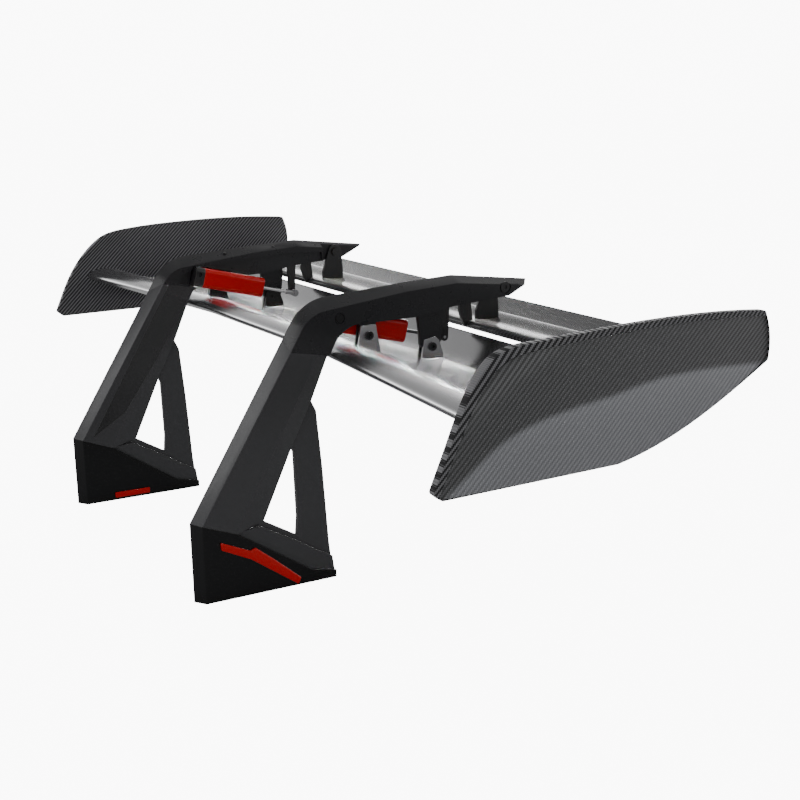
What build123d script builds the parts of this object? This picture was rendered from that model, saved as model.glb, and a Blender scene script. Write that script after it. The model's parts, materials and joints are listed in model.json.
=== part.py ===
from build123d import *
import os
from math import atan2, cos, degrees, hypot, radians, sin

# Swan-neck rear wing with a flap that two hydraulic actuators raise and lower.
# Millimetres and degrees. X runs along the span, +Y rearward, +Z up.
# The origin is the centre of the four body bolts, on the underside of the feet.
# Pieces at +X are the left-hand ones. The right-hand ones are their mirror images.

# Driving dimensions: span and stations
half_span = 900
upright_x = 331
upright_half_width = 22
upright_face_in = upright_x - upright_half_width
upright_face_out = upright_x + upright_half_width
brace_half_width = 5

# Driving dimensions: wing sections
main_end = 884
main_trailing_edge = (487, 436.6)
nose_radius = 12
nose_sweep = 53
nose_drop = 7
nose_root = (194, 427)
flap_end = 880
flap_nose = (491.5, 450.1)
flap_nose_radius = 8
flap_trailing_edge = (668, 472.5)

# Driving dimensions: flap hinge and the linkage that turns it
flap_pivot = (547, 518)
flap_swing = 28
crank_pivot = (436, 506)
crank_ratio = -0.958
drive_radius = 56
drive_angle = 13
crank_reach = 76
actuator_tilt = 13.2
actuator_x = 311
running_clearance = 0.05

# Driving dimensions: end plates
plate_inner = 884
plate_thickness = 8
rim_thickness = 14.5
skin_gap = 0.8
plate_bend_radius = 113
plate_bend_start = 30

# Driving dimensions: feet
bolt_spacing_y = 150
bolt_hole_radius = 4.25
bolt_hole_depth = 30

# Worked out: the drive pin at rest, and the crank's fork, which points at it
line_angle = degrees(
    atan2(crank_pivot[1] - flap_pivot[1], crank_pivot[0] - flap_pivot[0])
)
drive_pin = (
    flap_pivot[0] + drive_radius * cos(radians(line_angle - drive_angle)),
    flap_pivot[1] + drive_radius * sin(radians(line_angle - drive_angle)),
)
fork_angle = degrees(
    atan2(drive_pin[1] - crank_pivot[1], drive_pin[0] - crank_pivot[0])
)
# Worked out: the crank's tip swings evenly about the square to the actuator's axis
crank_swing = abs(crank_ratio) * flap_swing
tip_angle = -90 - actuator_tilt + crank_swing / 2
crank_tip = (
    crank_pivot[0] + crank_reach * cos(radians(tip_angle)),
    crank_pivot[1] + crank_reach * sin(radians(tip_angle)),
)
tip_rise = crank_reach * (1 - cos(radians(crank_swing / 2)))
rod_stroke = 2 * crank_reach * sin(radians(crank_swing / 2))
# The rod end's centre sits half the tip's rise outside the tip at rest
eye_centre = (
    crank_tip[0] - tip_rise / 2 * sin(radians(actuator_tilt)),
    crank_tip[1] - tip_rise / 2 * cos(radians(actuator_tilt)),
)
actuator = Plane(
    origin=(actuator_x, eye_centre[0], eye_centre[1]),
    x_dir=(1, 0, 0),
    z_dir=(0, cos(radians(actuator_tilt)), -sin(radians(actuator_tilt))),
)

# Stations along the actuator's axis, from the rod end's centre, rearward positive
barrel_rear = -90
barrel_front = -238
cap_front = -260
piston_rear = -108
barrel_width = 42
barrel_height = 44
barrel_corner = 9
actuator_pin = (194, 492)

# Linkage stations along X
crank_in, crank_out = 323, 329
lug_in, lug_out = 330, 336
slot_in, slot_out = 321.5, 337.5
bracket_in, bracket_out = 315, 320.5
tail_face_in = 322

# Wing brackets: outer cheek, lug of the upright, inner cheek, all face to face
cheek_outer = (346.5, 350.5)
lug_span = (338, 346.5)
cheek_inner = (334, 338)
front_bolt = (255, 455)
mid_bolt = (393, 420)
tail_bolt = (560, 520)

pin_radius = {"flap": 6, "crank": 5, "actuator": 5, "tip": 3, "drive": 2.5, "bracket": 4}


# ---------------------------------------------------------------- shared builders
def outline(points, x, corner=0, radii=None):
    """Closed outline of (y, z) points in the plane at x."""
    with BuildSketch(Plane.YZ.offset(x)) as profile:
        with BuildLine():
            FilletPolyline(*points, radius=radii or corner, close=True)
        make_face()
    return profile.sketch


def disc(plane, centre, radius):
    """Round face in a plane, at a point given in that plane."""
    with BuildSketch(plane) as profile:
        with Locations(centre):
            Circle(radius)
    return profile.sketch


def slab(points, x_from, x_to, corner=0, mode=Mode.ADD):
    """Flat plate across X with the given (y, z) outline."""
    extrude(outline(points, x_from, corner), amount=x_to - x_from, mode=mode)


def bar(centre, x_from, x_to, radius, mode=Mode.ADD):
    """Round bar along X."""
    profile = disc(Plane.YZ.offset(x_from), centre, radius)
    extrude(profile, amount=x_to - x_from, mode=mode)


def post(centre, z_from, z_to, radius, mode=Mode.ADD):
    """Round bar along Z."""
    profile = disc(Plane.XY.offset(z_from), centre, radius)
    extrude(profile, amount=z_to - z_from, mode=mode)


def axial(start, end, radius, mode=Mode.ADD):
    """Round length along the actuator's axis."""
    extrude(disc(actuator.offset(start), (0, 0), radius), amount=end - start, mode=mode)


def prism(start, end, shrink=0, mode=Mode.ADD):
    """Round-cornered square length along the actuator's axis, like its body."""
    with BuildSketch(actuator.offset(start)) as profile:
        RectangleRounded(barrel_width - 2 * shrink, barrel_height - 2 * shrink, barrel_corner)
    extrude(profile.sketch, amount=end - start, mode=mode)


def web(centre_a, radius_a, centre_b, radius_b, x_from, x_to):
    """Arm between two round ends, as their common hull."""
    with BuildSketch(Plane.YZ.offset(x_from)) as profile:
        with BuildLine():
            CenterArc(centre_a, radius_a, 0, 360)
            CenterArc(centre_b, radius_b, 0, 360)
        make_hull()
    extrude(profile.sketch, amount=x_to - x_from)


def write(builder, name):
    """Label a finished piece and write it."""
    builder.part.label = name
    export_step(builder.part, f"parts/{name}.step")


def write_pair(builder, name):
    """Write a left-hand piece, and its mirror image as the right-hand one."""
    write(builder, "left_" + name)
    with BuildPart() as twin:
        mirror(builder.part, about=Plane.YZ)
    write(twin, "right_" + name)


def write_both(builder, name):
    """Write the pieces of both sides as one node."""
    with BuildPart() as group:
        add(builder.part)
        mirror(builder.part, about=Plane.YZ)
    write(group, name)


os.makedirs("parts", exist_ok=True)


# ---------------------------------------------------------------- fasteners and pins
def inboard_roof_face(y, ridge_z):
    """Plane on the inboard roof face of an arm, where the ridge is at (y, ridge_z)."""
    roof_drop = 13.5
    half = upright_half_width / 2
    slope = atan2(roof_drop, upright_half_width)
    return Plane(
        origin=(upright_x - half, y, ridge_z - roof_drop / 2),
        x_dir=(0, 1, 0),
        z_dir=(-sin(slope), 0, cos(slope)),
    )


with BuildPart() as arm_screws:
    for station in ((267, 539.2), (388, 546.6), (496, 544.4)):
        roof_face = inboard_roof_face(*station)
        extrude(disc(roof_face.offset(-3), (0, 0), 2), amount=3)
        extrude(disc(roof_face, (0, 0), 3.5), amount=1.2)

with BuildPart() as neck_screws:
    for place in ((36, 330), (-62, 163)):
        bar(place, upright_face_in + 0.2, upright_face_in + 0.8, 3.2)
        bar(place, upright_face_in + 0.8, upright_face_in + 8, 1.6)

foot_bolt_places = ((-40, 150), (25, 112))
with BuildPart() as foot_bolts:
    for y, top in foot_bolt_places:
        post((upright_x, y), 2, 10, 6.5)
        post((upright_x, y), 10, top, 4)

plate_screw_places = ((165, 415), (240, 404), (320, 392), (395, 381))
with BuildPart() as end_plate_screws:
    for place in plate_screw_places:
        bar(place, plate_inner - 18, plate_inner + 4.5, 3)
        bar(place, plate_inner + 4.5, plate_inner + plate_thickness, 6)

with BuildPart() as bracket_bolts:
    for place in (front_bolt, mid_bolt):
        bar(place, cheek_inner[0] - 2, cheek_outer[1], pin_radius["bracket"])
        bar(place, cheek_outer[1], cheek_outer[1] + 4.5, 8)
        with BuildSketch(Plane.YZ.offset(cheek_outer[1] + 1.5)):
            with Locations(place):
                RegularPolygon(3.6, 6)
        extrude(amount=3, mode=Mode.SUBTRACT)

with BuildPart() as hinge_pins:
    bar(flap_pivot, bracket_in - 1, upright_face_out - 12, pin_radius["flap"])
    bar(flap_pivot, bracket_in - 4, bracket_in - 1, 9)

with BuildPart() as tail_bolts:
    bar(tail_bolt, upright_face_out - 11, upright_face_out - 3, 4)
    bar(tail_bolt, upright_face_out - 3, upright_face_out - 0.5, 10.5)
    with BuildSketch(Plane.YZ.offset(upright_face_out - 2)):
        with Locations(tail_bolt):
            RegularPolygon(4.5, 6)
    extrude(amount=2, mode=Mode.SUBTRACT)

with BuildPart() as crank_pins:
    bar(crank_pivot, upright_face_in + 5.5, upright_face_out - 10, pin_radius["crank"])

with BuildPart() as actuator_pins:
    bar(actuator_pin, 295, upright_face_out - 3, pin_radius["actuator"])
    bar(actuator_pin, upright_face_out - 3, upright_face_out - 0.3, 8.5)


# ---------------------------------------------------------------- main plane
def main_section(x, sweep):
    """Aerofoil section at x. sweep is 0 at the middle and 1 at the tips."""
    y = nose_root[0] - sweep * nose_sweep
    z = nose_root[1] - sweep * nose_drop
    reach = main_trailing_edge[0] - 80 - y
    lower_trailing_edge = (main_trailing_edge[0] + 1, main_trailing_edge[1] - 2.4)
    with BuildSketch(Plane.YZ.offset(x)) as profile:
        with BuildLine():
            upper = Spline(
                (y - nose_radius, z),
                (y + 1, z + nose_radius),
                (y + 0.42 * reach, z - 5.5 + 1.5 * sweep),
                (y + 0.80 * reach, z - 27 + 7 * sweep),
                (main_trailing_edge[0] - 78, 396),
                (main_trailing_edge[0] - 47, 404.5),
                (main_trailing_edge[0] - 19, 421),
                main_trailing_edge,
                tangents=((0, 1), (0.77, 0.64)),
            )
            edge = Line(upper @ 1, lower_trailing_edge)
            Spline(
                edge @ 1,
                (main_trailing_edge[0] - 17, 410),
                (main_trailing_edge[0] - 47, 384),
                (main_trailing_edge[0] - 97, 367),
                (y + 0.62 * reach, z - 52 + 8 * sweep),
                (y + 0.35 * reach, z - 36 + 7 * sweep),
                (y + 1, z - nose_radius),
                (y - nose_radius, z),
                tangents=((-0.68, -0.73), (0, 1)),
            )
        make_face()
    return profile.sketch


with BuildPart() as main_plane:
    for x in (-main_end, -620, -320, 0, 320, 620, main_end):
        add(main_section(x, (max(0, abs(x) - 250) / (main_end - 250)) ** 1.1))
    loft()
    for side in (1, -1):
        for place in plate_screw_places:
            bar(place, side * 866, side * main_end, 3, mode=Mode.SUBTRACT)
write(main_plane, "main_plane")

# ---------------------------------------------------------------- flap
with BuildPart() as flap:
    with BuildSketch(Plane.YZ.offset(-flap_end)):
        with BuildLine():
            top = Spline(
                (flap_nose[0] - flap_nose_radius, flap_nose[1]),
                (flap_nose[0] + 2.5, flap_nose[1] + flap_nose_radius),
                (flap_nose[0] + 50, flap_nose[1] + 4),
                (flap_nose[0] + 110, flap_nose[1] + 7.5),
                flap_trailing_edge,
                tangents=((0, 1), (0.95, 0.3)),
            )
            tail = Line(top @ 1, (flap_trailing_edge[0] + 0.6, flap_trailing_edge[1] - 2))
            Spline(
                tail @ 1,
                (flap_nose[0] + 110, flap_nose[1] - 2.5),
                (flap_nose[0] + 50, flap_nose[1] - 9.5),
                (flap_nose[0] + 1, flap_nose[1] - flap_nose_radius),
                (flap_nose[0] - flap_nose_radius, flap_nose[1]),
                tangents=((-0.93, -0.37), (0, 1)),
            )
        make_face()
    extrude(amount=2 * flap_end)
write(flap, "flap")

# ---------------------------------------------------------------- end plates
plate_points = ((45, 334), (84, 421), (134, 494), (168, 521), (230, 535.5), (400, 547))


def plate_outline(x, shift=(0, 0)):
    """Outline of an end plate: swept front, arched top, cut-off rear, rising underside."""
    with BuildSketch(Plane.YZ.offset(x)) as profile:
        with BuildLine():
            front = Spline(*plate_points, (560, 549.5), (690, 543.5))
            rear = ThreePointArc(front @ 1, (704, 500), (703, 459))
            under = Spline(rear @ 1, (593, 399), (519, 365.5), (444, 340), (387, 327))
            floor = Line(under @ 1, (60, 322))
            Line(floor @ 1, front @ 0)
        make_face()
        fillet(profile.vertices(), 6)
    return profile.sketch.moved(Location((0, shift[0], shift[1])))


# The plate's front upper part curls inboard about the line from its chin to its crown
curl_plane = Plane(origin=(0, 45, 334), x_dir=(1, 0, 0), z_dir=(0, 0.857, 0.514))


def curled_sheet(outer_shape, inner, outer):
    """Sheet between two depths beyond the plate's inner face, cut to an outline."""
    centre_x = plate_inner - plate_bend_radius
    with BuildSketch(curl_plane.offset(-300)) as profile:
        with BuildLine():
            reach = 75
            near = CenterArc((centre_x, -plate_bend_start), plate_bend_radius + inner, 0, -reach)
            far = CenterArc((centre_x, -plate_bend_start), plate_bend_radius + outer, 0, -reach)
            Line(near @ 1, far @ 1)
            Polyline(
                near @ 0,
                (plate_inner + inner, 500),
                (plate_inner + outer, 500),
                far @ 0,
            )
        make_face()
    extrude(profile.sketch, amount=1100)
    extrude(outer_shape, amount=80, mode=Mode.INTERSECT)


blank_x = plate_inner - 60
skin_outline = plate_outline(blank_x, (9, -11)) & plate_outline(blank_x, (-1.5, 1.5))
pocket_outline = plate_outline(blank_x, (9 - skin_gap, skin_gap - 11))
pocket_outline &= plate_outline(blank_x, (skin_gap - 1.5, 1.5 - skin_gap))

with BuildPart() as skin_pocket:
    curled_sheet(pocket_outline, plate_thickness, rim_thickness + 6)

with BuildPart() as end_plate:
    curled_sheet(plate_outline(blank_x), 0, rim_thickness)
    add(skin_pocket.part, mode=Mode.SUBTRACT)
    add(end_plate_screws.part, mode=Mode.SUBTRACT)
write_pair(end_plate, "end_plate")

with BuildPart() as end_plate_skin:
    curled_sheet(skin_outline, plate_thickness, half_span - plate_inner)
write_pair(end_plate_skin, "end_plate_skin")
write_both(end_plate_screws, "end_plate_screws")


# ---------------------------------------------------------------- uprights
def upright_profile(x, roof):
    """Neck and arm outline. roof is 0 on the ridge and 1 on the side faces."""
    points = (
        (-101 + 15 * roof, 149 - 3 * roof),
        (128 + 5 * roof, 527 - 22.5 * roof),
        (334, 543.5 - 14 * roof),
        (446, 550 - 13.5 * roof),
        (624 - 18 * roof, 530 - 9 * roof),
        (570, 503),
        (440, 493),
        (360, 480),
        (199.5, 478),
        (172, 426),
        (140, 346),
        (99.5, 264.6),
        (41.3, 129.6),
        (-18, 120),
    )
    radii = (0, 90 - 28 * roof, 0, 0, 0, 0, 0, 0, 62, 0, 0, 0, 0, 0)
    return outline(points, x, radii=radii)


neck_panel = ((127, 472), (189, 463), (172, 443), (96, 316), (12, 197), (-60, 152))
inboard_pocket = ((150, 470), (160, 490), (186, 503), (232, 509), (300, 516), (420, 523))
inboard_pocket += ((508, 520), (514, 470), (360, 450))
linkage_slot = ((414, 470), (414, 524), (424, 532), (500, 534.5), (512, 528), (512, 470))
tail_step = ((511, 470), (511, 560), (640, 560), (640, 470))
front_lug = ((236, 490), (240, 448), (247, 441), (263, 441), (270, 448), (274, 490))
mid_lug = ((362, 494), (368, 450), (370, 424), (380, 408), (406, 408), (416, 430), (422, 496))
bevel_top = (150, 432)
bevel_foot = (-21, 124)
bevel_depth_per_mm = 0.356

# The arm's elbow and the neck meet on a sloping face
seam = Plane(origin=(upright_x, 138, 451), z_dir=(0.86, 0.17, 1))

with BuildPart() as whole_upright:
    for side in (1, -1):
        add(upright_profile(upright_x, 0))
        add(upright_profile(upright_x + side * upright_half_width, 1))
        loft(ruled=True)
    slab(front_lug, lug_span[0], lug_span[1], 4)
    slab(mid_lug, lug_span[0], lug_span[1], 6)
    slab(inboard_pocket, upright_face_in, upright_face_in + 5, mode=Mode.SUBTRACT)
    slab(tail_step, upright_face_in, tail_face_in, mode=Mode.SUBTRACT)
    slab(linkage_slot, slot_in, slot_out, mode=Mode.SUBTRACT)
    slab(neck_panel, upright_face_in, upright_face_in + 2.5, mode=Mode.SUBTRACT)
    prism(cap_front - 2, -60, -1.5, mode=Mode.SUBTRACT)
    bar(actuator_pin, upright_face_out - 3, upright_face_out, 10, mode=Mode.SUBTRACT)
    bar(tail_bolt, upright_face_out - 3, upright_face_out, 13, mode=Mode.SUBTRACT)
    for tool in (hinge_pins, tail_bolts, crank_pins, actuator_pins, arm_screws, neck_screws):
        add(tool.part, mode=Mode.SUBTRACT)
    for tool in (foot_bolts, bracket_bolts):
        add(tool.part, mode=Mode.SUBTRACT)

with BuildPart() as swan_arm:
    add(whole_upright.part)
    split(bisect_by=seam, keep=Keep.TOP)
write_pair(swan_arm, "swan_arm")

with BuildPart() as neck:
    add(whole_upright.part)
    split(bisect_by=seam, keep=Keep.BOTTOM)
    # Bevels down the rear of the neck, towards the thin edge of the triangular opening
    for side in (1, -1):
        rear_bevel = Plane(
            origin=(upright_x + side * upright_half_width, bevel_top[0], bevel_top[1]),
            x_dir=(side, 0, 0),
            z_dir=(0, bevel_foot[0] - bevel_top[0], bevel_foot[1] - bevel_top[1]),
        )
        width = 70
        with BuildSketch(rear_bevel.offset(-60)):
            with BuildLine():
                Polyline(
                    (0, 0),
                    (2, 0),
                    (2, -side * width),
                    (-width * bevel_depth_per_mm, -side * width),
                    close=True,
                )
            make_face()
        extrude(amount=420, mode=Mode.SUBTRACT)
write_pair(neck, "neck")

with BuildPart() as neck_cover:
    slab(neck_panel, upright_face_in + 0.7, upright_face_in + 2.5)
    add(neck.part, mode=Mode.SUBTRACT)
write_pair(neck_cover, "neck_cover")

brace_outline = (
    (140, 346),
    (151.5, 323),
    (162.5, 217),
    (174.5, 66),
    (181, 14),
    (131, 23),
    (-18, 120),
    (41.3, 129.6),
    (107.8, 91.1),
    (110.3, 126.1),
    (105.3, 249.1),
    (99.5, 264.6),
)
brace_toe = ((-18, 120), (30, 124), (106, 82), (140, 60), (177, 40), (181, 14), (131, 23))
with BuildPart() as rear_brace:
    slab(brace_outline, upright_x - brace_half_width, upright_x + brace_half_width)
    slab(brace_toe, upright_x - 14, upright_x + 14)
    add(foot_bolts.part, mode=Mode.SUBTRACT)
write_pair(rear_brace, "rear_brace")

# ---------------------------------------------------------------- feet
with BuildPart() as foot:
    for side in (1, -1):
        for roof in (0, 1):
            foot_points = (
                (-101 + 15 * roof, 149 - 3 * roof),
                (-18, 120),
                (131, 23),
                (181, 14),
                (181, 0),
                (-98 + 15 * roof, 0),
            )
            add(outline(foot_points, upright_x + side * roof * upright_half_width))
        loft(ruled=True)
    add(foot_bolts.part, mode=Mode.SUBTRACT)
    for y, top in foot_bolt_places:
        post((upright_x, y), 0, 2, 6.5, mode=Mode.SUBTRACT)
    for y in (-bolt_spacing_y / 2, bolt_spacing_y / 2):
        post((upright_x, y), 0, bolt_hole_depth, bolt_hole_radius, mode=Mode.SUBTRACT)
write_pair(foot, "foot")

strip_out = ((-54, 112), (4, 86), (14, 90), (52, 60), (105, 15), (99, 3), (44, 42))
strip_out += ((4, 70), (-52, 97))
strip_in = ((-20, 18), (60, 18), (60, 6), (-20, 6))
with BuildPart() as foot_strips:
    slab(strip_out, upright_face_out, upright_face_out + 4, 2)
    slab(strip_in, upright_face_in - 4, upright_face_in, 2)
write_pair(foot_strips, "foot_strips")

# ---------------------------------------------------------------- wing brackets
front_cheek = ((239, 473.5), (270, 474), (282, 412), (230, 418))
mid_cheek = ((376, 434), (401, 438), (409, 431), (419, 404), (419, 385), (369, 392))
for name, span, shape, bolt in (
    ("front_outer_cheek", cheek_outer, front_cheek, front_bolt),
    ("front_inner_cheek", cheek_inner, front_cheek, front_bolt),
    ("mid_outer_cheek", cheek_outer, mid_cheek, mid_bolt),
    ("mid_inner_cheek", cheek_inner, mid_cheek, mid_bolt),
):
    with BuildPart() as cheek:
        slab(shape, span[0], span[1])
        add(main_plane.part, mode=Mode.SUBTRACT)
        bar(bolt, span[0], span[1], pin_radius["bracket"], mode=Mode.SUBTRACT)
    write_pair(cheek, name)
write_both(bracket_bolts, "bracket_bolts")

# ---------------------------------------------------------------- flap brackets
with BuildPart() as hinge_bracket:
    with BuildSketch(Plane.YZ.offset(bracket_in)):
        with BuildLine():
            CenterArc(flap_pivot, 16, 0, 360)
            Polyline((514, 474), (514, 449), (568, 449), (568, 474), close=True)
        make_hull()
    extrude(amount=bracket_out - bracket_in)
    add(flap.part, mode=Mode.SUBTRACT)
    bar(flap_pivot, bracket_in, bracket_out, 9, mode=Mode.SUBTRACT)
write_pair(hinge_bracket, "hinge_bracket")

with BuildPart() as hinge_bushes:
    bar(flap_pivot, bracket_in, bracket_out + 0.4, 9)
    bar(
        flap_pivot,
        bracket_in,
        bracket_out + 0.4,
        pin_radius["flap"] + running_clearance,
        mode=Mode.SUBTRACT,
    )
write_both(hinge_bushes, "hinge_bushes")

with BuildPart() as drive_lug:
    slab(
        ((477, 449), (469, 466), (464, 482), (466, 505), (485, 527), (498, 524), (490, 500), (497, 449)),
        lug_in,
        lug_out,
    )
    bar(drive_pin, lug_in, lug_out, 7)
    add(flap.part, mode=Mode.SUBTRACT)
    bar(drive_pin, lug_in, lug_out, pin_radius["drive"], mode=Mode.SUBTRACT)
write_pair(drive_lug, "drive_lug")

with BuildPart() as drive_pins:
    bar(drive_pin, crank_in - 0.5, lug_out, pin_radius["drive"])
write_both(drive_pins, "drive_pins")

# ---------------------------------------------------------------- bell cranks
fork_plane = Plane(
    origin=(crank_in, crank_pivot[0], crank_pivot[1]),
    x_dir=(0, cos(radians(fork_angle)), sin(radians(fork_angle))),
    z_dir=(1, 0, 0),
)
with BuildPart() as bell_crank:
    web(crank_pivot, 11, crank_tip, 7.5, crank_in, crank_out)
    with BuildSketch(fork_plane):
        with BuildLine():
            Polyline((0, -11), (0, 11), (34, 7.1), (62, 7.1), (62, -7.1), (34, -7.1), close=True)
        make_face()
    extrude(amount=crank_out - crank_in)
    with BuildSketch(fork_plane):
        with Locations((57, 0)):
            Rectangle(18, 2 * pin_radius["drive"] + 1.2)
    extrude(amount=crank_out - crank_in, mode=Mode.SUBTRACT)
    bar(crank_tip, 318, crank_in, 6.5)
    bar(crank_pivot, crank_in, crank_out, 7.5, mode=Mode.SUBTRACT)
    bar(crank_tip, 318, crank_out, pin_radius["tip"], mode=Mode.SUBTRACT)
write_pair(bell_crank, "bell_crank")

with BuildPart() as crank_bush:
    bar(crank_pivot, crank_in - 0.7, crank_out + 0.5, 7.5)
    bar(
        crank_pivot,
        crank_in - 0.7,
        crank_out + 0.5,
        pin_radius["crank"] + running_clearance,
        mode=Mode.SUBTRACT,
    )
write_pair(crank_bush, "crank_bush")

with BuildPart() as tip_pin:
    bar(crank_tip, 304, crank_out, pin_radius["tip"])
    bar(crank_tip, 301.5, 304, 5)
write_pair(tip_pin, "tip_pin")

# ---------------------------------------------------------------- actuators
rod_radius = 4
bore_radius = 16
with BuildPart() as actuator_barrel:
    prism(barrel_front, barrel_rear)
    axial(barrel_front, barrel_rear, bore_radius, mode=Mode.SUBTRACT)
write_pair(actuator_barrel, "actuator_barrel")

with BuildPart() as actuator_gland:
    axial(barrel_rear - 14, barrel_rear, bore_radius)
    axial(barrel_rear, barrel_rear + 3, 12)
    axial(barrel_rear - 14, barrel_rear + 3, rod_radius + running_clearance, mode=Mode.SUBTRACT)
write_pair(actuator_gland, "actuator_gland")

with BuildPart() as actuator_cap:
    axial(barrel_front, barrel_front + 12, bore_radius)
    prism(cap_front, barrel_front, 0.5)
    bar(actuator_pin, 289, 333, pin_radius["actuator"], mode=Mode.SUBTRACT)
write_pair(actuator_cap, "actuator_cap")

with BuildPart() as piston:
    axial(piston_rear - 14, piston_rear, bore_radius - running_clearance)
    axial(piston_rear - 14, piston_rear, rod_radius, mode=Mode.SUBTRACT)
write_pair(piston, "piston")

eye_radius = pin_radius["tip"] + tip_rise / 2 + 0.35
with BuildPart() as actuator_rod:
    axial(piston_rear - 14, -7, rod_radius)
write_pair(actuator_rod, "actuator_rod")

with BuildPart() as rod_end:
    bar(eye_centre, 305, 317, 8)
    axial(-22, -3, 5.5)
    bar(eye_centre, 305, 317, eye_radius, mode=Mode.SUBTRACT)
    add(actuator_rod.part, mode=Mode.SUBTRACT)
write_pair(rod_end, "rod_end")

# ---------------------------------------------------------------- static pins and screws
write_both(hinge_pins, "hinge_pins")
write_both(crank_pins, "crank_pins")
write_both(actuator_pins, "actuator_pins")
write_both(arm_screws, "arm_screws")
write_both(neck_screws, "neck_screws")
write_both(tail_bolts, "tail_bolts")
write_both(foot_bolts, "foot_bolts")
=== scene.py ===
import json
from math import cos, exp, radians, sin

import bmesh
import bpy
import numpy as np
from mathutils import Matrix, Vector


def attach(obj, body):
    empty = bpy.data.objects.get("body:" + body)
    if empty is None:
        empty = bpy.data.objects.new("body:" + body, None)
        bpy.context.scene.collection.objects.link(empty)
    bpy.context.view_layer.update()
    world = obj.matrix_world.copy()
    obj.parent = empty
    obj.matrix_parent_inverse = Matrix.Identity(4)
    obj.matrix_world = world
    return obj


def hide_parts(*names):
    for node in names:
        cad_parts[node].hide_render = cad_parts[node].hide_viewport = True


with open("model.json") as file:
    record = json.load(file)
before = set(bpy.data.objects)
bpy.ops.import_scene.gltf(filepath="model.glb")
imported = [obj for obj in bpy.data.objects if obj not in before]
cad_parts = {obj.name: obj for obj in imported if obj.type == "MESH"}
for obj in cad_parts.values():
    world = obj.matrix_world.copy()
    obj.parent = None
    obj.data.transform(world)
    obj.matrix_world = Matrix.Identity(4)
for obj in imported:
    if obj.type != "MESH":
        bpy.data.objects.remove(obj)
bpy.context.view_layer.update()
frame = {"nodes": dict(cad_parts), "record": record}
NODES = frame["nodes"]


# ---------------------------------------------------------------- camera
VIEW_AZIMUTH = 58.7078
VIEW_ELEVATION = 13.7393
CAMERA_PLACE = (2.38430, -0.91415, 0.90624)
LENS_MM = 58.5


def make_camera():
    """The camera looks down at the wing from its front left."""
    data = bpy.data.cameras.new("camera")
    data.lens = LENS_MM
    data.sensor_width = 36
    camera = bpy.data.objects.new("camera", data)
    bpy.context.scene.collection.objects.link(camera)
    azimuth = radians(VIEW_AZIMUTH)
    elevation = radians(VIEW_ELEVATION)
    ahead = Vector((-sin(azimuth) * cos(elevation), cos(azimuth) * cos(elevation), -sin(elevation)))
    camera.location = CAMERA_PLACE
    camera.rotation_euler = ahead.to_track_quat("-Z", "Y").to_euler()
    bpy.context.scene.camera = camera


make_camera()


# ---------------------------------------------------------------- studio
def soft_light(name, place, target, size, power):
    """A rectangular soft box that faces a point."""
    data = bpy.data.lights.new(name, "AREA")
    data.shape = "RECTANGLE"
    data.size, data.size_y = size
    data.energy = power
    light = bpy.data.objects.new(name, data)
    light.location = place
    light.rotation_euler = (Vector(target) - Vector(place)).to_track_quat("-Z", "Y").to_euler()
    bpy.context.scene.collection.objects.link(light)
    return light


# Brightness of the surround against the height of the direction, from straight down to straight up
SURROUND = (
    (0, 0.15),
    (0.49, 0.3),
    (0.51, 1.3),
    (0.60, 1.4),
    (0.68, 0.6),
    (0.75, 0.34),
    (0.86, 0.36),
    (1, 0.9),
)
# The lit wall behind the wing, added on its own side
WALL = (
    (0.47, 0),
    (0.5, 2.6),
    (0.595, 2.6),
    (0.615, 1.6),
    (0.64, 0.8),
    (0.68, 0.4),
    (0.74, 0),
)
# The horizontal direction of the wall, and how far from it the wall's light starts and is full
WALL_DIRECTION = (-0.84, 0.54, 0)
WALL_START = 0.1
WALL_FULL = 0.8
# What the camera sees of the backdrop and the floor
BACKDROP_GLOW = 10.0
FLOOR_GLOW = 9.5
FLOOR_SIZE = 60
FLOOR_DROP = 0.0005


def ramp_of(nodes, stops, scale):
    """A grey ramp through the stops, whose brightness is divided by scale."""
    made = nodes.new("ShaderNodeValToRGB")
    while len(made.color_ramp.elements) < len(stops):
        made.color_ramp.elements.new(0.5)
    for element, (place, glow) in zip(made.color_ramp.elements, stops):
        element.position = place
        element.color = (glow / scale, glow / scale, glow / scale, 1)
    return made


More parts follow.
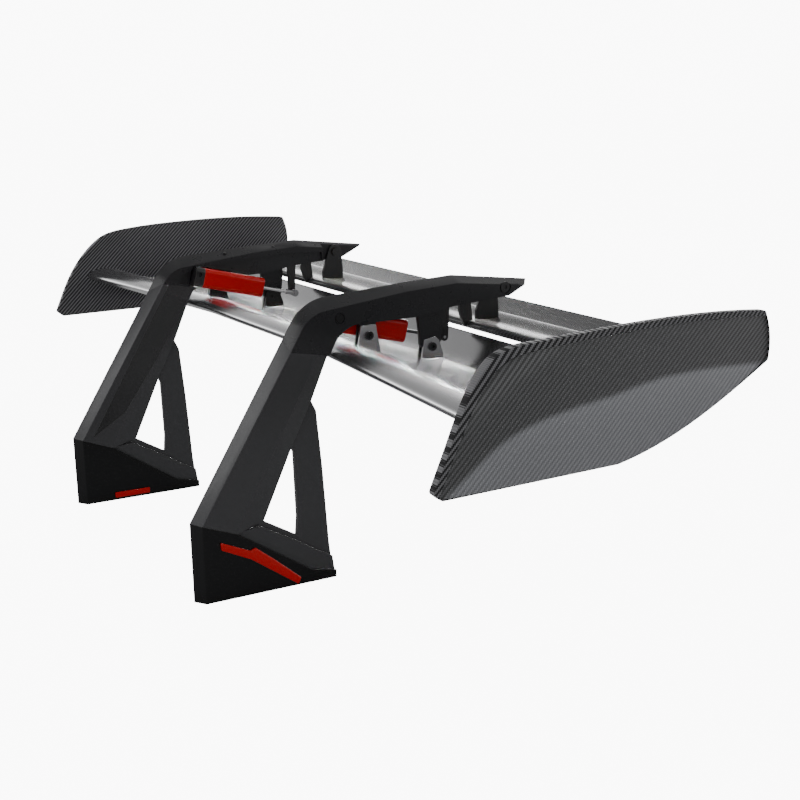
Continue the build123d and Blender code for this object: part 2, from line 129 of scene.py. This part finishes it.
def make_surround():
    """A white backdrop; its light comes from a wall behind the wing and softly from overhead."""
    world = bpy.data.worlds.new("studio")
    bpy.context.scene.world = world
    world.use_nodes = True
    nodes = world.node_tree.nodes
    links = world.node_tree.links
    direction = nodes.new("ShaderNodeTexCoord").outputs["Generated"]
    split = nodes.new("ShaderNodeSeparateXYZ")
    links.new(direction, split.inputs[0])
    height = nodes.new("ShaderNodeMapRange")
    height.inputs["From Min"].default_value = -1
    links.new(split.outputs["Z"], height.inputs["Value"])
    behind = nodes.new("ShaderNodeVectorMath")
    behind.operation = "DOT_PRODUCT"
    behind.inputs[1].default_value = WALL_DIRECTION
    links.new(direction, behind.inputs[0])
    share = nodes.new("ShaderNodeMapRange")
    share.interpolation_type = "SMOOTHSTEP"
    share.inputs["From Min"].default_value = WALL_START
    share.inputs["From Max"].default_value = WALL_FULL
    links.new(behind.outputs["Value"], share.inputs["Value"])
    lit = nodes["Background"]
    around = ramp_of(nodes, SURROUND, 2)
    links.new(height.outputs[0], around.inputs[0])
    links.new(around.outputs[0], lit.inputs["Color"])
    lit.inputs["Strength"].default_value = 2
    wall = nodes.new("ShaderNodeBackground")
    wall_ramp = ramp_of(nodes, WALL, 10)
    links.new(height.outputs[0], wall_ramp.inputs[0])
    links.new(wall_ramp.outputs[0], wall.inputs["Color"])
    wall_power = nodes.new("ShaderNodeMath")
    wall_power.operation = "MULTIPLY"
    wall_power.inputs[1].default_value = 10
    links.new(share.outputs[0], wall_power.inputs[0])
    links.new(wall_power.outputs[0], wall.inputs["Strength"])
    total = nodes.new("ShaderNodeAddShader")
    links.new(lit.outputs[0], total.inputs[0])
    links.new(wall.outputs[0], total.inputs[1])
    seen = nodes.new("ShaderNodeBackground")
    seen.inputs["Color"].default_value = (1, 1, 1, 1)
    seen.inputs["Strength"].default_value = BACKDROP_GLOW
    choose = nodes.new("ShaderNodeMixShader")
    links.new(nodes.new("ShaderNodeLightPath").outputs["Is Camera Ray"], choose.inputs[0])
    links.new(total.outputs[0], choose.inputs[1])
    links.new(seen.outputs[0], choose.inputs[2])
    links.new(choose.outputs[0], nodes["World Output"].inputs["Surface"])


def make_floor():
    """A plain pale floor that fades into the backdrop."""
    bpy.ops.mesh.primitive_plane_add(size=FLOOR_SIZE, location=(0, 0, -FLOOR_DROP))
    floor = bpy.context.object
    floor.name = "floor"
    material = bpy.data.materials.new("pale_floor")
    material.use_nodes = True
    nodes = material.node_tree.nodes
    links = material.node_tree.links
    shader = nodes["Principled BSDF"]
    shader.inputs["Base Color"].default_value = (0.5, 0.5, 0.5, 1)
    shader.inputs["Roughness"].default_value = 0.9
    shader.inputs["Specular IOR Level"].default_value = 0.1
    shader.inputs["Emission Color"].default_value = (1, 1, 1, 1)
    glow = nodes.new("ShaderNodeMath")
    glow.operation = "MULTIPLY"
    glow.inputs[1].default_value = FLOOR_GLOW
    links.new(nodes.new("ShaderNodeLightPath").outputs["Is Camera Ray"], glow.inputs[0])
    links.new(glow.outputs[0], shader.inputs["Emission Strength"])
    floor.data.materials.append(material)


make_surround()
make_floor()
soft_light("front_key", (0.5, -3.2, 2.3), (0.1, 0.1, 0.35), (2.6, 1.4), 42)
soft_light("high_back", (-1.0, 2.4, 3.0), (0, 0.4, 0.4), (2.2, 1.4), 6)
soft_light("rear_side", (1.6, 4.2, 0.7), (0.2, 0.1, 0.3), (1.6, 1.0), 34)
# A low light far behind that casts no shadow, so it fills the main plane's trough past the flap
trough_fill = soft_light("trough_fill", (-4.5, 3.8, 1.66), (0.4, 0.4, 0.4), (3.4, 0.55), 34)
trough_fill.data.use_shadow = False
trough_fill.data.cycles.use_multiple_importance_sampling = False


# ---------------------------------------------------------------- materials
class Recipe:
    """A procedural material and short ways to add and join its nodes."""

    def __init__(self, name, color, roughness=0.4, metallic=0.0, coat=0.0, coat_roughness=0.05):
        self.material = bpy.data.materials.new(name)
        self.material.use_nodes = True
        self.nodes = self.material.node_tree.nodes
        self.links = self.material.node_tree.links
        self.shader = self.nodes["Principled BSDF"]
        self.set("Base Color", (*color, 1))
        self.set("Roughness", roughness)
        self.set("Metallic", metallic)
        self.set("Coat Weight", coat)
        self.set("Coat Roughness", coat_roughness)
        self.place = None

    def set(self, socket, value):
        self.shader.inputs[socket].default_value = value

    def node(self, kind, **values):
        made = self.nodes.new(kind)
        for key, value in values.items():
            setattr(made, key, value)
        return made

    def join(self, source, target):
        self.links.new(source, target)

    def position(self):
        """Coordinates fixed to the piece, in metres."""
        if self.place is None:
            self.place = self.node("ShaderNodeTexCoord").outputs["Object"]
        return self.place

    def math(self, operation, a, b=None):
        made = self.node("ShaderNodeMath", operation=operation)
        for index, value in enumerate((a, b)):
            if value is None:
                continue
            if isinstance(value, (int, float)):
                made.inputs[index].default_value = value
            else:
                self.join(value, made.inputs[index])
        return made.outputs[0]

    def noise(self, scale, detail=3.0, stretch=(1, 1, 1)):
        """Noise from 0 to 1, with its scale in cells per metre."""
        mapping = self.node("ShaderNodeMapping")
        mapping.inputs["Scale"].default_value = stretch
        self.join(self.position(), mapping.inputs["Vector"])
        made = self.node("ShaderNodeTexNoise")
        made.inputs["Scale"].default_value = scale
        made.inputs["Detail"].default_value = detail
        self.join(mapping.outputs[0], made.inputs["Vector"])
        return made.outputs["Fac"]

    def spread(self, source, low, high):
        """Maps 0 to 1 onto low to high."""
        made = self.node("ShaderNodeMapRange")
        made.inputs["To Min"].default_value = low
        made.inputs["To Max"].default_value = high
        self.join(source, made.inputs["Value"])
        return made.outputs[0]

    def blend(self, factor, color_a, color_b):
        """A colour between two, by a factor from 0 to 1."""
        made = self.node("ShaderNodeMix", data_type="RGBA")
        for socket, value in ((made.inputs[6], color_a), (made.inputs[7], color_b)):
            if isinstance(value, tuple):
                socket.default_value = (*value, 1)
            else:
                self.join(value, socket)
        self.join(factor, made.inputs[0])
        return made.outputs[2]

    def swell(self, axis, start, end, rise):
        """Height in metres that climbs smoothly by rise between two stations of an axis."""
        split = self.node("ShaderNodeSeparateXYZ")
        self.join(self.position(), split.inputs[0])
        made = self.node("ShaderNodeMapRange", interpolation_type="SMOOTHSTEP")
        made.inputs["From Min"].default_value = start
        made.inputs["From Max"].default_value = end
        made.inputs["To Max"].default_value = rise
        self.join(split.outputs[axis], made.inputs["Value"])
        return made.outputs[0]

    def bump(self, height, distance):
        made = self.node("ShaderNodeBump")
        made.inputs["Strength"].default_value = 1
        made.inputs["Distance"].default_value = distance
        self.join(height, made.inputs["Height"])
        self.join(made.outputs[0], self.shader.inputs["Normal"])
        self.join(made.outputs[0], self.shader.inputs["Coat Normal"])


def twill(
    name,
    plane,
    tow,
    dark,
    light,
    roughness,
    coat,
    relief=0.00012,
    form=None,
    gloss=0.12,
    shine=0.5,
    painted_lit_tones=None,
):
    """Lacquered 2x2 twill carbon cloth lying in a plane, woven from tows of a given width.

    plane gives, for the two directions of the weave, the weights of the x, y and z coordinates.
    The last argument, when given, is a second, lighter pair of tones: painted light, mixed in by a
    painted-light share stored on the mesh.
    """
    r = Recipe(name, dark, roughness, 0.0, coat, gloss)
    r.set("Specular IOR Level", shine)
    counts = []
    fractions = []
    for weights in plane:
        along = r.node("ShaderNodeVectorMath", operation="DOT_PRODUCT")
        r.join(r.position(), along.inputs[0])
        along.inputs[1].default_value = tuple(w / tow for w in weights)
        counts.append(r.math("FLOOR", along.outputs["Value"]))
        fractions.append(r.math("FRACT", along.outputs["Value"]))
    step = r.math("FLOORED_MODULO", r.math("SUBTRACT", counts[0], counts[1]), 4)
    warp_up = r.math("LESS_THAN", step, 1.5)
    crowns = [r.math("SINE", r.math("MULTIPLY", f, 3.14159)) for f in fractions]
    crown = r.node("ShaderNodeMix", data_type="FLOAT")
    r.join(warp_up, crown.inputs[0])
    r.join(crowns[1], crown.inputs[2])
    r.join(crowns[0], crown.inputs[3])
    fibre_a = r.noise(1 / tow, 2, tuple(1 + 7 * abs(w) for w in plane[0]))
    fibre_b = r.noise(1 / tow, 2, tuple(1 + 7 * abs(w) for w in plane[1]))
    fibre = r.node("ShaderNodeMix", data_type="FLOAT")
    r.join(warp_up, fibre.inputs[0])
    r.join(fibre_b, fibre.inputs[2])
    r.join(fibre_a, fibre.inputs[3])
    cloth = r.blend(warp_up, dark, light)
    # Painted light: lighter cloth mixed in by a share stored on each vertex of the mesh
    if painted_lit_tones:
        painted_light = r.node("ShaderNodeAttribute", attribute_name="painted_light").outputs["Fac"]
        cloth = r.blend(painted_light, cloth, r.blend(warp_up, *painted_lit_tones))
    rounded = r.spread(crown.outputs[0], 0.72, 1.08)
    shade = r.math("MULTIPLY", rounded, r.spread(fibre.outputs[0], 0.75, 1.2))
    shade = r.math("MULTIPLY", shade, r.spread(r.noise(6, 3), 0.93, 1.07))
    toned = r.node("ShaderNodeMix", data_type="RGBA", blend_type="MULTIPLY")
    toned.inputs[0].default_value = 1
    r.join(cloth, toned.inputs[6])
    r.join(shade, toned.inputs[7])
    r.join(toned.outputs[2], r.shader.inputs["Base Color"])
    r.join(r.spread(warp_up, roughness * 1.15, roughness * 0.85), r.shader.inputs["Roughness"])
    swelling = r.math("MULTIPLY", crown.outputs[0], r.spread(fibre.outputs[0], 0.85, 1.0))
    height = r.math("MULTIPLY", swelling, relief)
    if form:
        height = r.math("ADD", height, r.swell(*form))
    r.bump(height, 1)
    return r


# Share by which paint drifts in tone, and the depth of its orange peel in metres
TONE_DRIFT = 0.06
PEEL_DEPTH = 0.00004


def painted(name, color, roughness, coat=0.0, shine=0.5):
    """Paint or powder coat: slow tone drift, patchy gloss and a fine orange-peel grain."""
    r = Recipe(name, color, roughness, 0.0, coat)
    r.set("Specular IOR Level", shine)
    drift = r.noise(9, 4)
    darker = tuple(c * (1 - TONE_DRIFT) for c in color)
    lighter = tuple(c * (1 + TONE_DRIFT) for c in color)
    r.join(r.blend(drift, darker, lighter), r.shader.inputs["Base Color"])
    r.join(r.spread(r.noise(35, 5), roughness * 0.88, roughness * 1.12), r.shader.inputs["Roughness"])
    r.bump(r.noise(900, 2), PEEL_DEPTH)
    return r


def metal(name, color, roughness, stretch=(1, 1, 1), grain=600, relief=0.00003):
    """Bare, anodised or lacquered metal with a fine directional finish."""
    r = Recipe(name, color, roughness, 1.0)
    lines = r.noise(grain, 3, stretch)
    r.join(r.spread(lines, roughness * 0.8, roughness * 1.25), r.shader.inputs["Roughness"])
    r.join(r.blend(r.noise(14, 3), tuple(c * 0.92 for c in color), color), r.shader.inputs["Base Color"])
    r.bump(r.math("MULTIPLY", lines, relief), 1)
    return r


ACROSS_PLATE = ((0, 1, 0), (0, 0, 1))
ACROSS_WING = ((1, 0, 0), (0, 0.9, 0.44))
TOW = 0.0025
SILVER = (0.62, 0.62, 0.63)
# A slow swell of the flap's skin along the chord: axis, start, end and rise in metres
FLAP_FORM = (1, 0.515, 0.60, 0.013)


def build_materials():
    made = {
        "main_plane_lacquer": metal("main_plane_lacquer", SILVER, 0.2, (1, 30, 30), 220, 0.00001),
        "flap_carbon": twill(
            "flap_carbon",
            ACROSS_WING,
            TOW,
            (0.010, 0.010, 0.011),
            (0.045, 0.045, 0.048),
            0.3,
            0.4,
            relief=0.00003,
            form=FLAP_FORM,
            gloss=0.04,
            shine=0.1,
        ),
        "plate_carbon": twill(
            "plate_carbon",
            ACROSS_PLATE,
            TOW,
            (0.016, 0.016, 0.017),
            (0.15, 0.15, 0.156),
            0.6,
            0.0,
            shine=0.12,
        ),
        "skin_carbon": twill(
            "skin_carbon",
            ACROSS_PLATE,
            TOW,
            (0.014, 0.014, 0.015),
            (0.080, 0.081, 0.085),
            0.4,
            0.2,
            # Lighter tones painted in below the crease: painted light on the skin's bulge
            painted_lit_tones=((0.15, 0.153, 0.165), (0.25, 0.255, 0.275)),
        ),
        "inlay_carbon": painted("inlay_carbon", (0.012, 0.012, 0.013), 0.26, 0.3),
        "satin_black": painted("satin_black", (0.032, 0.0323, 0.035), 0.34, shine=0.45),
        "arm_black": painted("arm_black", (0.017, 0.017, 0.0185), 0.28, shine=0.3),
        "gloss_black": painted("gloss_black", (0.0025, 0.0025, 0.003), 0.10, shine=0.3),
        "red_paint": painted("red_paint", (0.42, 0.0008, 0.001), 0.25, shine=0.3),
        "clear_anodised": metal("clear_anodised", (0.42, 0.42, 0.43), 0.42),
        "black_anodised": painted("black_anodised", (0.007, 0.007, 0.0075), 0.34),
        "black_steel": painted("black_steel", (0.007, 0.007, 0.0075), 0.3),
        "bare_steel": metal("bare_steel", (0.42, 0.42, 0.43), 0.3),
        "rod_steel": metal("rod_steel", (0.7, 0.7, 0.71), 0.12),
        "bush_bronze": metal("bush_bronze", (0.45, 0.3, 0.13), 0.35),
    }
    return {name: recipe.material for name, recipe in made.items()}


MATERIALS = build_materials()


def dress_nodes():
    """Each carried-over CAD node takes its slot's procedural material."""
    for part in frame["record"]["subparts"]:
        node = NODES[part["node"]]
        material = MATERIALS[part["material_slot"]]
        for place in node.material_slots:
            place.material = material


dress_nodes()


# ---------------------------------------------------------------- wing surfaces
def smooth_curve(points, start, end, count):
    """Points along a smooth curve through the given ones, with set directions at both ends."""
    points = np.array(points, float)
    chords = np.linalg.norm(np.diff(points, axis=0), axis=1)
    knots = np.concatenate(([0], np.cumsum(chords)))
    last = len(points) - 1
    matrix = np.zeros((last + 1, last + 1))
    right = np.zeros((last + 1, 2))
    matrix[0, 0] = matrix[last, last] = 1
    right[0] = np.array(start) / np.linalg.norm(start)
    right[last] = np.array(end) / np.linalg.norm(end)
    for i in range(1, last):
        h0, h1 = chords[i - 1], chords[i]
        matrix[i, i - 1 : i + 2] = (h1, 2 * (h0 + h1), h0)
        right[i] = 3 * (h1 * (points[i] - points[i - 1]) / h0 + h0 * (points[i + 1] - points[i]) / h1)
    slopes = np.linalg.solve(matrix, right)
    made = []
    for k in range(count + 1):
        place = knots[-1] * k / count
        i = min(int(np.searchsorted(knots, place, side="right")) - 1, last - 1)
        h = chords[i]
        t = (place - knots[i]) / h
        made.append(
            (2 * t**3 - 3 * t**2 + 1) * points[i]
            + (t**3 - 2 * t**2 + t) * h * slopes[i]
            + (3 * t**2 - 2 * t**3) * points[i + 1]
            + (t**3 - t**2) * h * slopes[i + 1]
        )
    return made


MAIN_HALF = 0.884
TRAILING_EDGE = (0.487, 0.4366)
NOSE = (0.194, 0.427)
NOSE_RADIUS = 0.012
SPAN_STEPS = 104
UPPER_STEPS = 110
LOWER_STEPS = 80


def main_outline(x):
    """Closed section of the main plane at x, from the nose over the top to the edge and back."""
    sweep = (max(0, abs(x) - 0.25) / (MAIN_HALF - 0.25)) ** 1.1
    y = NOSE[0] - 0.053 * sweep
    z = NOSE[1] - 0.007 * sweep
    edge_y, edge_z = TRAILING_EDGE
    reach = edge_y - 0.08 - y
    upper = smooth_curve(
        (
            (y - NOSE_RADIUS, z),
            (y + 0.001, z + NOSE_RADIUS),
            (y + 0.42 * reach, z - 0.0055 + 0.0015 * sweep),
            (y + 0.80 * reach, z - 0.027 + 0.007 * sweep),
            (edge_y - 0.078, 0.396),
            (edge_y - 0.047, 0.4045),
            (edge_y - 0.019, 0.421),
            (edge_y, edge_z),
        ),
        (0, 1),
        (0.77, 0.64),
        UPPER_STEPS,
    )
    lower = smooth_curve(
        (
            (edge_y + 0.001, edge_z - 0.0024),
            (edge_y - 0.017, 0.410),
            (edge_y - 0.047, 0.384),
            (edge_y - 0.097, 0.367),
            (y + 0.62 * reach, z - 0.052 + 0.008 * sweep),
            (y + 0.35 * reach, z - 0.036 + 0.007 * sweep),
            (y + 0.001, z - NOSE_RADIUS),
            (y - NOSE_RADIUS, z),
        ),
        (-0.68, -0.73),
        (0, 1),
        LOWER_STEPS,
    )
    return upper + lower[:-1]


def span_surface(bm, outline_at, stations):
    """Skins a row of closed outlines along X and closes both ends."""
    rings = [[bm.verts.new((x, y, z)) for y, z in outline_at(x)] for x in stations]
    for a, b in zip(rings, rings[1:]):
        for i in range(len(a)):
            j = (i + 1) % len(a)
            bm.faces.new((a[i], a[j], b[j], b[i]))
    bm.faces.new(rings[0])
    bm.faces.new(list(reversed(rings[-1])))


def shape_main_plane():
    bm = bmesh.new()
    count = SPAN_STEPS
    stations = [MAIN_HALF * (2 * k / count - 1) for k in range(count + 1)]
    span_surface(bm, main_outline, stations)
    settle(bm, "moulded_main_plane", "main_plane", "main_plane_lacquer", 50)


# ---------------------------------------------------------------- end plate skins
# Crease of the outer skin, in metres along the chord and in height
CREASE = (
    (0.045, 0.312),
    (0.100, 0.352),
    (0.160, 0.393),
    (0.223, 0.417),
    (0.298, 0.432),
    (0.368, 0.441),
    (0.462, 0.457),
    (0.562, 0.462),
    (0.720, 0.457),
)
SKIN_RECESS = 0.0046
SKIN_ROLL = 0.038
SKIN_SPACING = 0.005
# Painted light below the crease: width of its step at the crease, its share far below, and how slowly it
# fades to that
PAINTED_LIGHT_STEP = 0.008
PAINTED_LIGHT_FAR = 0.8
PAINTED_LIGHT_FADE = 0.05


def crease_at(y):
    """Height and slope of the crease, from a smooth curve through its points."""
    points = CREASE
    last = len(points) - 1
    i = min(max(sum(1 for p in points if p[0] <= y) - 1, 0), last - 1)
    slopes = []
    for k in (i, i + 1):
        before = points[max(k - 1, 0)]
        after = points[min(k + 1, last)]
        slopes.append((after[1] - before[1]) / (after[0] - before[0]))
    (y0, z0), (y1, z1) = points[i], points[i + 1]
    t = min(max((y - y0) / (y1 - y0), 0), 1)
    run = y1 - y0
    z = (
        (2 * t**3 - 3 * t**2 + 1) * z0
        + (t**3 - 2 * t**2 + t) * run * slopes[0]
        + (3 * t**2 - 2 * t**3) * z1
        + (t**3 - t**2) * run * slopes[1]
    )
    return z, slopes[0] * (1 - t) + slopes[1] * t


def below_crease(y, z):
    """Distance of a point below the crease, measured square to it."""
    crease, slope = crease_at(y)
    return (crease - z) / (1 + slope * slope) ** 0.5


def recess_at(y, z):
    """How far the skin lies inside its outermost plane: even above the crease, rolling out below it."""
    below = below_crease(y, z)
    if below <= 0:
        return SKIN_RECESS
    return SKIN_RECESS * exp(-below / SKIN_ROLL) + 0.0001


def painted_light_at(y, z):
    """Share of painted light on the cloth, where the bulge faces the light: none above the crease, most
    just below it.
    """
    below = below_crease(y, z)
    rise = min(max(below / PAINTED_LIGHT_STEP, 0), 1)
    return rise * (PAINTED_LIGHT_FAR + (1 - PAINTED_LIGHT_FAR) * exp(-max(below, 0) / PAINTED_LIGHT_FADE))


def fine_copy(node, spacing):
    """The node's own mesh, welded, flattened and cut into small faces along the chord and in height."""
    bm = bmesh.new()
    bm.from_mesh(node.data)
    bmesh.ops.remove_doubles(bm, verts=bm.verts, dist=0.00001)
    bmesh.ops.dissolve_limit(bm, angle_limit=radians(0.6), verts=bm.verts, edges=bm.edges)
    for axis in (1, 2):
        low = min(v.co[axis] for v in bm.verts)
        high = max(v.co[axis] for v in bm.verts)
        count = int((high - low) / spacing)
        normal = Vector((axis == 0, axis == 1, axis == 2))
        for k in range(1, count + 1):
            geometry = bm.verts[:] + bm.edges[:] + bm.faces[:]
            spot = normal * (low + (high - low) * k / (count + 1))
            bmesh.ops.bisect_plane(bm, geom=geometry, plane_co=spot, plane_no=normal, dist=0.00001)
    return bm


def settle(bm, name, node_name, material, sharp=30, body="structure"):
    """Finishes a bmesh as the object that stands in for a node."""
    mesh = bpy.data.meshes.new(name)
    bmesh.ops.recalc_face_normals(bm, faces=bm.faces)
    for face in bm.faces:
        face.smooth = True
    for edge in bm.edges:
        edge.smooth = len(edge.link_faces) == 2 and edge.calc_face_angle(0) < radians(sharp)
    bm.to_mesh(mesh)
    bm.free()
    mesh.materials.append(MATERIALS[material])
    made = bpy.data.objects.new(name, mesh)
    bpy.context.scene.collection.objects.link(made)
    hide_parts(node_name)
    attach(made, body)
    return made


def shape_skins():
    """Both skins are worked on the left one's mesh, and the right one is its mirror image."""
    for side, sign in (("left", 1), ("right", -1)):
        bm = fine_copy(NODES["left_end_plate_skin"], SKIN_SPACING)
        # Each outer vertex also stores its share of painted light below the crease
        painted_light = bm.verts.layers.float.new("painted_light")
        outer = {v for f in bm.faces if f.normal.x > 0.3 for v in f.verts}
        for v in outer:
            v.co.x -= recess_at(v.co.y, v.co.z)
            v[painted_light] = painted_light_at(v.co.y, v.co.z)
        bmesh.ops.scale(bm, vec=(sign, 1, 1), verts=bm.verts)
        settle(bm, side + "_creased_skin", side + "_end_plate_skin", "skin_carbon")


shape_main_plane()
shape_skins()


# ---------------------------------------------------------------- softened edges
ROUNDING_STEPS = 3
SHARP_ANGLE = 28


def soften(name, width, flat=1.2):
    """Rounds the sharp edges of a carried-over node without touching its mesh.

    Faces within flat degrees of each other are joined first.
    """
    for side in ("", "left_", "right_"):
        node = NODES.get(side + name)
        if node is None:
            continue
        merge = node.modifiers.new("merge", "WELD")
        merge.merge_threshold = 0.00002
        flatten = node.modifiers.new("flatten", "DECIMATE")
        flatten.decimate_type = "DISSOLVE"
        flatten.angle_limit = radians(flat)
        rounding = node.modifiers.new("rounding", "BEVEL")
        rounding.width = width
        rounding.segments = ROUNDING_STEPS
        rounding.limit_method = "ANGLE"
        rounding.angle_limit = radians(SHARP_ANGLE)
        rounding.use_clamp_overlap = True
        rounding.harden_normals = True


for part_name, *sizes in (
    ("neck", 0.0022),
    ("swan_arm", 0.0026),
    ("rear_brace", 0.0018),
    ("foot", 0.0015),
    ("front_outer_cheek", 0.0006),
    ("mid_outer_cheek", 0.0006),
    ("front_inner_cheek", 0.0006),
    ("mid_inner_cheek", 0.0006),
    ("bell_crank", 0.0008),
    ("drive_lug", 0.0008),
    ("hinge_bracket", 0.0008),
    ("actuator_barrel", 0.0012),
    ("actuator_cap", 0.0012),
    ("foot_strips", 0.001),
    ("end_plate", 0.0045, 0.05),
):
    soften(part_name, *sizes)
